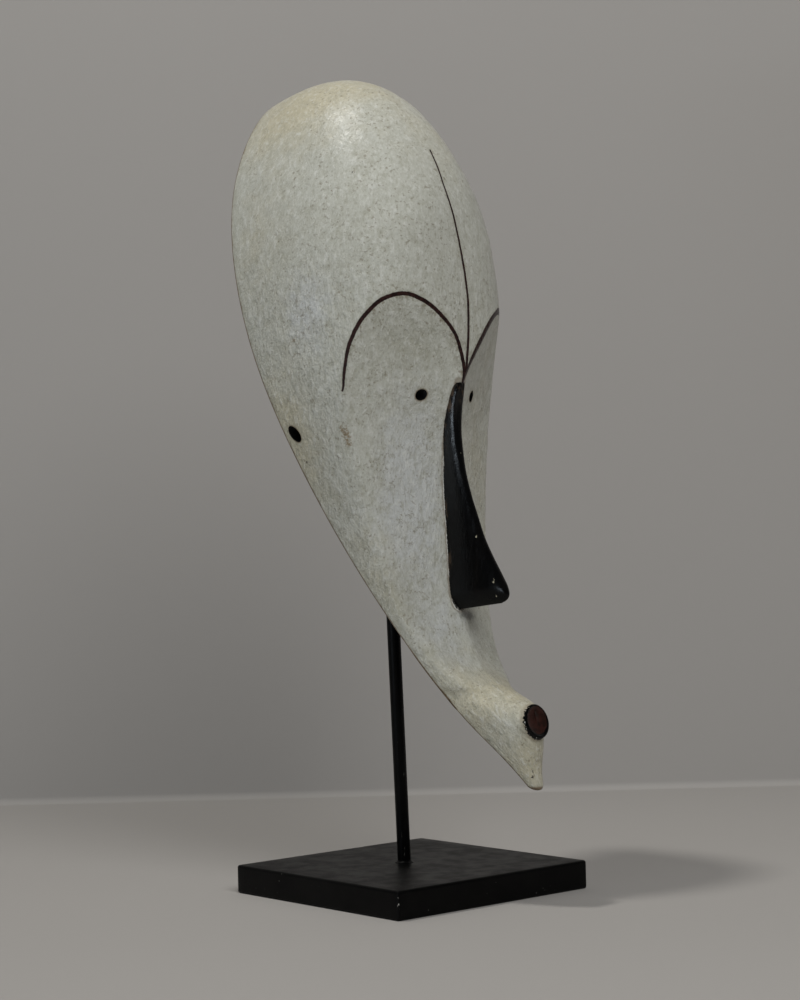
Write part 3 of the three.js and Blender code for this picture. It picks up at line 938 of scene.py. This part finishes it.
    # The black nose, with thin paint, wear at its foot and chips on its ridge
    tip = n.ramp(up, *NOSE_BLACK_ENDS)
    edge = n.total(n.plus(nose, frayed_small, 0.8), n.blend(tip, n.ramp(up, 255, 285, 0, -1.1), 1.2))
    black = n.ramp(edge, 0, 0.25, 1, 0)
    thin = n.ramp(n.noise(12, 4, 0.6, (1, 1, 5)), 0.45, 0.75, 0, 0.5)
    nose_black = n.mix(thin, paint.black, paint.black_brown)
    worn = n.product(n.ramp(nose, -2.4, -0.3), n.ramp(n.noise(5, 4, 0.6, (1, 1, 3)), 0.5, 0.62), 0.6)
    nose_black = n.mix(worn, nose_black, paint.worn_brown)
    chip = n.ramp(n.total(n.attribute("chip"), frayed_small), 0.6, 0.8)
    n.coat(n.mix(chip, nose_black, paint.warm_cream), black)
    # A thin dark brown edge round the holes, and painted shade that falls off round them
    hole = n.plus(n.attribute("hole_gap"), frayed_small, 0.7)
    n.coat(paint.stain, hole, 0.1, 1.1, 0.85, 0)
    n.coat(paint.dirt_and_shade, hole, 0.5, 4, 0.25, 0)
    # Gloss: waxy paint, a duller crown and lines, and glossy black on the nose and round the mouth
    glossy = n.math("MAXIMUM", black, black_ring)
    waxy_rough = n.ramp(n.noise(7, 3), 0.3, 0.7, paint.gloss - 0.05, paint.gloss + 0.09)
    black_rough = n.ramp(n.noise(2, 4, 0.6, (1, 1, 6)), 0.3, 0.7, 0.14, 0.28)
    waxy = n.blend(n.math("MAXIMUM", lines, n.ramp(up, 380, 440)), 0.5, paint.crown_gloss)
    black_gloss = n.product(n.ramp(up, 200, 290, 0.5, 1.2), paint.black_gloss)
    # The crown is the smoothest, and the black paint and the mouth are smoother still
    smooth_paint = n.math("MAXIMUM", black, n.ramp(reach, 9, 12, 1, 0))
    strength = n.product(n.ramp(up, 320, 420, 1, paint.crown_relief), n.ramp(smooth_paint, 0, 1, 1, 0.12))
    height = n.total(n.product(n.plus(wrinkle, crumple, 0.5), strength), n.ramp(line, -0.5, 0.7, 0, 0.15))
    return n.finished(n.blend(glossy, waxy_rough, black_rough), n.blend(glossy, waxy, black_gloss),
                      n.bump(height, paint.relief / MM))


def bare_wood(paint):
    """Dark bare wood: the hollow and its tool marks, and the walls of the drilled holes, painted black as
    painted shade.
    """
    n = Nodes("bare_wood", paint.bare_wood)
    grain = n.noise(3, 4, 0.6, (1, 1, 9))
    n.coat(paint.bare_dark, grain, 0.3, 0.75)
    n.coat(paint.bare_dark, n.noise(30, 3), 0.35, 0.7, 0, 0.5)
    # Painted shade: the walls of the holes, and the wood next to them, are painted black
    n.coat(paint.black, n.total(n.attribute("hole_gap"), n.ragged(2, 0.8)), 0.3, 1.6, 1, 0)
    gouges = n.plus(n.noise(14, 2, 0.5, (1, 1, 1.6)), grain, 0.15)
    return n.finished(0.8, 0.3, n.bump(gouges, 2))


def black_metal(stand):
    """Black painted steel: satin, with a little orange peel, dust and a few rubbed places."""
    n = Nodes("black_metal", stand.black)
    n.coat(stand.dust, n.noise(6, 4, 0.6, (1, 1, 3)), 0.45, 0.75, 0, 0.5)
    n.coat(stand.primer, n.noise(1.2, 3, 0.6, (1, 1, 7)), 0.68, 0.76, 0, 0.25)
    rough = n.ramp(n.noise(4, 3), 0.3, 0.7, 0.32, 0.46)
    return n.finished(rough, stand.sheen, n.bump(n.noise(1.4, 3), 0.06))


def black_wood(stand):
    """Black painted wood: satin, with brush marks, dust on top and chips at the front corner."""
    n = Nodes("black_wood", stand.black)
    n.coat(stand.dust, n.noise(30, 4, 0.6), 0.35, 0.75, 0, 0.35)
    n.coat(stand.primer, n.product(n.ramp(n.dots(4), 0.04, 0.09, 0.5, 0), n.ramp(n.noise(25, 2), 0.5, 0.65)))
    n.coat(stand.primer, n.total(n.attribute("corner_gap"), n.ragged(1.5, 8)), -0.1, 0.4, 0.9, 0)
    brushed = n.blend(0.5, n.noise(1.3, 3, 0.6, (14, 1, 1)), n.noise(1.6, 3))
    return n.finished(n.ramp(n.noise(12, 4), 0.3, 0.7, 0.34, 0.46), stand.sheen, n.bump(brushed, 0.08))


def plain_floor(studio):
    """Plain pale paper of the studio floor and backdrop."""
    return Nodes("studio_paper", (*studio.floor, 1.0)).finished(0.9, 0.15)


# Sizes and colours


def colour_property(name, words, value):
    return FloatVectorProperty(name=name, description=words, default=value, subtype="COLOR", min=0, max=1)


def length_property(name, words, value):
    return FloatProperty(name=name, description=words, default=value, min=0, max=1,
                         subtype="DISTANCE", unit="LENGTH", precision=5)


def place_property(name, words, value):
    return FloatVectorProperty(name=name, description=words, default=value, size=len(value), subtype="XYZ",
                               unit="LENGTH")


def angle_property(name, words, degrees):
    return FloatProperty(name=name, description=words, default=math.radians(degrees), subtype="ANGLE")


def share_property(name, words, value):
    return FloatProperty(name=name, description=words, default=value, subtype="FACTOR", min=0, max=1)


def power_property(name, words, value):
    return FloatProperty(name=name, description=words, default=value, unit="POWER", min=0)


def count_property(name, words, value, least):
    return IntProperty(name=name, description=words, default=value, min=least)


class MaskWood(bpy.types.PropertyGroup):
    """How finely and how evenly the mask is carved."""

    rings: count_property("Rings", "Rings from the chin to the crown", 345, 40)
    columns: count_property("Columns", "Points round the outside of a ring", 190, 40)
    hollow_columns: count_property("Hollow columns", "Points round the hollow", 41, 9)
    rim_round: length_property("Rim rounding", "Radius of the back edge", 0.0009)
    tool_marks: length_property("Tool marks", "Depth of the broad unevenness", 0.0007)
    brush_marks: length_property("Brush marks", "Depth of the finer unevenness", 0.0003)
    mouth_smoothing: count_property("Mouth smoothing", "Passes that blend the mouth's neck", 7, 0)


class MaskPaint(bpy.types.PropertyGroup):
    """Colours of the paint, the wood and the wear, and of painted shade and highlights."""

    cream: colour_property("Cream", "Most of the mask", (0.535, 0.543, 0.487))
    warm_cream: colour_property("Warm cream", "Yellowed paint", (0.53, 0.492, 0.362))
    # Cool sheen: cream with the painted reflection of the cool light at the left
    cool_sheen: colour_property("Cool cream", "Paint rubbed blue-white", (0.575, 0.595, 0.60))
    # Chalk and highlight: raised chalky grains, also laid as painted highlights on the wrinkles' tops and on
    # the mouth's ring
    chalk_and_highlight: colour_property("Chalk", "Raised chalky grains", (0.72, 0.73, 0.69))
    # Dirt and shade: greyed and browned paint, also laid as painted shade in patches, in the wrinkles'
    # valleys and round the holes
    dirt_and_shade: colour_property("Dirt", "Greyed and browned paint", (0.34, 0.335, 0.265))
    specks: colour_property("Specks", "Brown specks", (0.16, 0.125, 0.075))
    dark_specks: colour_property("Dark specks", "The few dark specks", (0.035, 0.028, 0.022))
    stain: colour_property("Stain", "Brown stain in creases and at edges", (0.16, 0.105, 0.055))
    rust: colour_property("Rust", "Orange-brown spots", (0.19, 0.125, 0.048))
    # The grey of the painted shadow under the nose
    nose_shadow_grey: colour_property("Soot", "Black rubbed off the nose", (0.07, 0.07, 0.068))
    line: colour_property("Line", "Painted lines", (0.032, 0.013, 0.011))
    line_dark: colour_property("Dark line", "Painted lines where they are thick", (0.013, 0.006, 0.006))
    black: colour_property("Black", "The nose and the mouth's ring", (0.0025, 0.0025, 0.0027))
    black_brown: colour_property("Brown black", "Thin black paint", (0.006, 0.0046, 0.0035))
    worn_brown: colour_property("Worn brown", "Wood rubbed through the black", (0.10, 0.065, 0.04))
    mouth_red: colour_property("Mouth red", "Disc of the mouth", (0.040, 0.015, 0.012))
    mouth_brown: colour_property("Mouth brown", "Darker places of the mouth", (0.02, 0.010, 0.008))
    bare_wood: colour_property("Bare wood", "Wood of the hollow", (0.075, 0.045, 0.026))
    bare_dark: colour_property("Dark wood", "Dark wood of the hollow and the holes", (0.022, 0.014, 0.009))
    # How dark the wrinkles' valleys are painted, with grime and painted shade
    valley_dirt_and_shade: share_property("Valley dirt", "How dirty the wrinkles' valleys are", 0.35)
    gloss: share_property("Roughness", "Roughness of the cream paint", 0.33)
    crown_gloss: share_property("Crown gloss", "How strongly the crown reflects", 0.24)
    black_gloss: share_property("Black gloss", "How strongly the black paint reflects", 0.3)
    relief: length_property("Relief", "Depth of the paint's wrinkles", 0.0011)
    crown_relief: share_property("Crown relief", "Share of the relief that the crown keeps", 0.27)


class StandFinish(bpy.types.PropertyGroup):
    """The rod and the plate."""

    rod_diameter: length_property("Rod diameter", "Round stock", ROD_DIAMETER * MM)
    bead_radius: length_property("Bead radius", "Weld bead at the rod's foot", 0.0058)
    bead_height: length_property("Bead height", "Height of the bead", 0.0028)
    plate_edge: length_property("Plate edge", "Rounding of the plate's edges", 0.0016)
    black: colour_property("Black", "Satin black paint", (0.0011, 0.0011, 0.0012))
    dust: colour_property("Dust", "Dusty black", (0.006, 0.0057, 0.0054))
    primer: colour_property("Primer", "Pale primer under chips", (0.42, 0.41, 0.38))
    sheen: share_property("Sheen", "How strongly the black paint reflects", 0.1)


class Studio(bpy.types.PropertyGroup):
    """The floor, the lights and the camera."""

    floor: colour_property("Floor", "Plain pale floor and backdrop", (0.42, 0.405, 0.39))
    wall_from: place_property("Wall from", "A place on the floor under the backdrop", (0.060, 0.574))
    wall_to: place_property("Wall to", "Another place under the backdrop", (0.551, 0.151))
    cove: length_property("Cove", "Radius where the floor turns up into the backdrop", 0.006)
    ambient: share_property("Ambient", "Strength of the even light", 0.045)
    key: power_property("Key", "Power of the light above", 14.5)
    front: power_property("Front", "Power of the broad light in front", 27)
    window: power_property("Window", "Power of the cool light at the left", 4)
    lens: FloatProperty(name="Lens", description="Focal length", default=82.8, min=10, unit="CAMERA")
    camera_place: place_property("Camera place", "Where the camera stands", (-0.9122, -1.0499, 0.2273))
    camera_heading: angle_property("Heading", "Direction the camera looks in, from +Y", -40.94)
    camera_pitch: angle_property("Pitch", "How far the camera looks up", 0.36)
    camera_roll: angle_property("Roll", "How far the camera is turned about its own axis", -1.41)


# Operators


def dress(piece, node):
    """Gives the finished piece its place in the frame."""
    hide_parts(node)
    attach(piece, "root")


def shaded(mesh, degrees):
    """Smooth shading, with sharp edges where faces meet at more than an angle."""
    mesh.polygons.foreach_set("use_smooth", [True] * len(mesh.polygons))
    mesh.set_sharp_from_angle(angle=math.radians(degrees))


class MASK_OT_carve(bpy.types.Operator):
    """Carves the mask, with its hollow, nose, mouth and holes, and paints it"""

    bl_idname = "spirit_mask.carve"
    bl_label = "Carve and paint the mask"

    def execute(self, context):
        wood = context.scene.mask_wood
        paint = context.scene.mask_paint
        materials = (painted_wood(paint), bare_wood(paint))
        block = laid_grid(head_rings(wood), bare_from=wood.columns + BACK_EDGE_COLUMNS)
        worn_by_hand(block, wood)
        piece = as_object(block, "painted_mask", materials)
        added = [as_object(nose_solid(), "nose", materials), as_object(mouth_solid(), "mouth", materials)]
        drills = [drilled(spot, side) for spot in (EYE, SIDE_HOLE) for side in (-1, 1)]
        drills.append(rod_solid(0, ROD_TOP + ROD_CLEARANCE, ROD_DIAMETER + 2 * ROD_CLEARANCE, 40))
        joined_and_cut(piece, added, [as_object(bare(drill), "drill", materials) for drill in drills])
        soften_mouth(piece.data, wood)
        mark_painted_places(piece.data)
        piece.data.transform(on_stand())
        piece.data.flip_normals()
        self.keep_within_solid(piece.data)
        shaded(piece.data, 38)
        dress(piece, "mask")
        return {"FINISHED"}

    def keep_within_solid(self, mesh):
        """Holds the outermost points within the box of the solid mask."""
        for vert in mesh.vertices:
            vert.co = [min(max(c, low), high) for c, low, high in zip(vert.co, MASK_LOW, MASK_HIGH)]


# The rod's lower end starts this far above the solid's, so that its lean stays within it, and both ends
# have a small edge, in millimetres
ROD_LIFT = 0.3
ROD_EDGE = 0.6
# The weld bead: how far it sinks into the plate, how high its edge is, and how uneven it is
BEAD_SUNK = 0.0003
BEAD_LIP = 0.0002
BEAD_UNEVEN = 0.16
BEAD_RIPPLE = 260


class MASK_OT_rod(bpy.types.Operator):
    """Makes the rod with the weld bead at its foot"""

    bl_idname = "spirit_mask.rod"
    bl_label = "Make the rod"

    def execute(self, context):
        stand = context.scene.stand_finish
        bm = rod_solid(ROD_LOW.z / MM + ROD_LIFT, ROD_TOP, stand.rod_diameter / MM, 48)
        ends = [e for e in bm.edges if abs(e.verts[0].co.z - e.verts[1].co.z) < 1 and len(e.link_faces) == 2]
        bmesh.ops.bevel(bm, geom=ends, offset=ROD_EDGE, affect="EDGES", segments=3, profile=0.5, material=-1)
        bm.transform(on_stand())
        bmesh.ops.recalc_face_normals(bm, faces=bm.faces)
        metal = black_metal(stand)
        piece = as_object(bm, "black_rod", (metal,))
        shaded(piece.data, 40)
        dress(piece, "rod")
        bead = as_object(self.bead(stand), "rod_bead", (metal,))
        shaded(bead.data, 60)
        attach(bead, "root")
        return {"FINISHED"}

    def bead(self, stand):
        """A low uneven ring where the rod enters the plate."""
        inner = stand.rod_diameter / 2 - BEAD_LIP
        outer, height = stand.bead_radius, stand.bead_height
        profile = [(inner, -BEAD_SUNK), (outer, -BEAD_SUNK), (outer, BEAD_LIP)]
        for turn in (math.pi / 8, math.pi / 4, math.pi * 3 / 8, math.pi / 2):
            up = height * (1 - math.cos(turn)) * 0.9 + BEAD_LIP
            profile.append((inner + (outer - inner) * (1 - math.sin(turn)), up))
        bm = spun(profile, 48, ring=True)
        for vert in bm.verts:
            if vert.co.z > 0.0001:
                vert.co.z *= 1 + BEAD_UNEVEN * noise.noise(Vector((vert.co.x, vert.co.y, 0)) * BEAD_RIPPLE)
        bmesh.ops.recalc_face_normals(bm, faces=bm.faces)
        top = PLATE_HIGH.z
        turn = Matrix.Rotation(HEAD_TURN, 3, "Z")
        lean = turn @ Vector((0, math.tan(ROD_LEAN) * top, 0))
        bm.transform(Matrix.Translation((ROD_FOOT[0] * MM + lean.x, ROD_FOOT[1] * MM + lean.y, top)))
        return bm


# The chips on the plate's front corner are densest at this height, in millimetres
CHIPS_HEIGHT = 10
# The plate's long edges, over this length, are cut so often that the chips fit between the points
LONG_EDGE = 0.01
PLATE_CUTS = 24


class MASK_OT_plate(bpy.types.Operator):
    """Makes the square plate with softened edges and chipped corners"""

    bl_idname = "spirit_mask.plate"
    bl_label = "Make the plate"

    def execute(self, context):
        stand = context.scene.stand_finish
        bm = bmesh.new()
        bmesh.ops.create_cube(bm, size=1)
        size = PLATE_HIGH - PLATE_LOW
        middle = (PLATE_HIGH + PLATE_LOW) / 2
        bm.transform(Matrix.Translation(middle) @ Matrix.Diagonal((*size, 1)))
        bmesh.ops.bevel(bm, geom=bm.edges[:], offset=stand.plate_edge, affect="EDGES", segments=5,
                        profile=0.5, material=-1)
        bmesh.ops.subdivide_edges(bm, edges=[e for e in bm.edges if e.calc_length() > LONG_EDGE],
                                  cuts=PLATE_CUTS, use_grid_fill=True)
        bmesh.ops.recalc_face_normals(bm, faces=bm.faces)
        piece = as_object(bm, "black_plate", (black_wood(stand),))
        x, y, z = np.array([(vert.co - PLATE_LOW)[:] for vert in piece.data.vertices]).T / MM
        store(piece.data, corner_gap=np.hypot(x, y) + np.abs(z - CHIPS_HEIGHT) * 0.3)
        shaded(piece.data, 30)
        dress(piece, "base_plate")
        return {"FINISHED"}


# The lights, as place, size and colour
LIGHTS = {
    "key": ((-0.60, 0.31, 2.19), (0.19, 0.19), (1.0, 0.975, 0.92)),
    "front": ((-0.64, -1.66, 1.69), (1.5, 1.5), (1.0, 0.995, 0.98)),
    "window": ((-2.0, -0.10, 0.17), (0.9, 0.2), (0.78, 0.89, 1.0)),
}
LIT_HEIGHT = 0.3
SKY = (0.97, 0.985, 1.0, 1.0)
# How far the paper reaches to each side, to the front and up
PAPER = (4.0, 4.0, 3.0)
COVE_STEPS = 8


class MASK_OT_stage(bpy.types.Operator):
    """Sets up the floor, the lights and the camera"""

    bl_idname = "spirit_mask.stage"
    bl_label = "Set the stage"

    def execute(self, context):
        studio = context.scene.mask_studio
        self.floor(studio)
        for name, (place, size, colour) in LIGHTS.items():
            self.light(name, place, size, getattr(studio, name), colour)
        world = bpy.data.worlds.new("studio")
        context.scene.world = world
        world.use_nodes = True
        sky = world.node_tree.nodes["Background"].inputs
        sky["Color"].default_value = SKY
        sky["Strength"].default_value = studio.ambient
        self.camera(context, studio)
        context.scene.view_settings.view_transform = "Standard"
        return {"FINISHED"}

    def floor(self, studio):
        """A plain floor that turns up into a plain backdrop behind the object."""
        start = Vector((*studio.wall_from, 0))
        along = (Vector((*studio.wall_to, 0)) - start).normalized()
        behind = Vector((0, 0, 1)).cross(along)
        if behind.dot(start) < 0:
            behind.negate()
        wide, deep, tall = PAPER
        outline = [(-deep, 0)]
        for step in range(COVE_STEPS + 1):
            turn = math.pi / 2 * step / COVE_STEPS
            outline.append((studio.cove * (math.sin(turn) - 1), studio.cove * (1 - math.cos(turn))))
        outline.append((0, tall))
        bm = bmesh.new()
        end = start - along * wide
        verts = [bm.verts.new(end + behind * out + Vector((0, 0, up))) for out, up in outline]
        edges = [bm.edges.new(pair) for pair in zip(verts, verts[1:])]
        drawn = bmesh.ops.extrude_edge_only(bm, edges=edges)
        moved = [item for item in drawn["geom"] if isinstance(item, bmesh.types.BMVert)]
        bmesh.ops.translate(bm, verts=moved, vec=along * 2 * wide)
        bmesh.ops.recalc_face_normals(bm, faces=bm.faces)
        if sum(face.normal.z * face.calc_area() for face in bm.faces) < 0:
            bmesh.ops.reverse_faces(bm, faces=bm.faces)
        paper = as_object(bm, "studio_paper", (plain_floor(studio),))
        shaded(paper.data, 30)

    def light(self, name, place, size, power, colour):
        """A soft light aimed at the mask; the broad one in front leaves no reflection."""
        lamp = bpy.data.lights.new(name, "AREA")
        lamp.shape = "ELLIPSE"
        lamp.size, lamp.size_y = size
        lamp.energy = power
        lamp.color = colour
        holder = bpy.data.objects.new(name, lamp)
        holder.location = place
        holder.visible_glossy = name != "front"
        aim = Vector((0, 0, LIT_HEIGHT)) - Vector(place)
        holder.rotation_euler = aim.to_track_quat("-Z", "Y").to_euler()
        bpy.context.scene.collection.objects.link(holder)

    def camera(self, context, studio):
        lens = bpy.data.cameras.new("camera")
        lens.lens = studio.lens
        lens.sensor_fit = "VERTICAL"
        lens.sensor_height = 36
        lens.clip_end = 50
        camera = bpy.data.objects.new("camera", lens)
        turned = (Matrix.Rotation(studio.camera_heading, 4, "Z")
                  @ Matrix.Rotation(math.pi / 2 + studio.camera_pitch, 4, "X")
                  @ Matrix.Rotation(studio.camera_roll, 4, "Z"))
        camera.matrix_world = Matrix.Translation(studio.camera_place) @ turned
        context.scene.collection.objects.link(camera)
        context.scene.camera = camera


class MASK_PT_panel(bpy.types.Panel):
    """Lists the steps that build the mask on its stand"""

    bl_label = "Spirit mask"
    bl_idname = "MASK_PT_panel"
    bl_space_type = "VIEW_3D"
    bl_region_type = "UI"
    bl_category = "Mask"

    def draw(self, context):
        steps = ((MASK_OT_carve, "mask_wood"), (MASK_OT_carve, "mask_paint"), (MASK_OT_rod, "stand_finish"),
                 (MASK_OT_plate, "stand_finish"), (MASK_OT_stage, "mask_studio"))
        for step, group in steps:
            box = self.layout.box()
            box.operator(step.bl_idname)
            for name in getattr(context.scene, group).bl_rna.properties.keys():
                if name not in ("rna_type", "name"):
                    box.prop(getattr(context.scene, group), name)


GROUPS = {"mask_wood": MaskWood, "mask_paint": MaskPaint, "stand_finish": StandFinish, "mask_studio": Studio}
CLASSES = (*GROUPS.values(), MASK_OT_carve, MASK_OT_rod, MASK_OT_plate, MASK_OT_stage, MASK_PT_panel)


def register():
    for cls in CLASSES:
        bpy.utils.register_class(cls)
    for name, group in GROUPS.items():
        setattr(bpy.types.Scene, name, PointerProperty(type=group))


def unregister():
    for name in GROUPS:
        delattr(bpy.types.Scene, name)
    for cls in reversed(CLASSES):
        bpy.utils.unregister_class(cls)


def main():
    register()
    bpy.ops.spirit_mask.stage()
    bpy.ops.spirit_mask.carve()
    bpy.ops.spirit_mask.rod()
    bpy.ops.spirit_mask.plate()


if __name__ == "__main__":
    main()
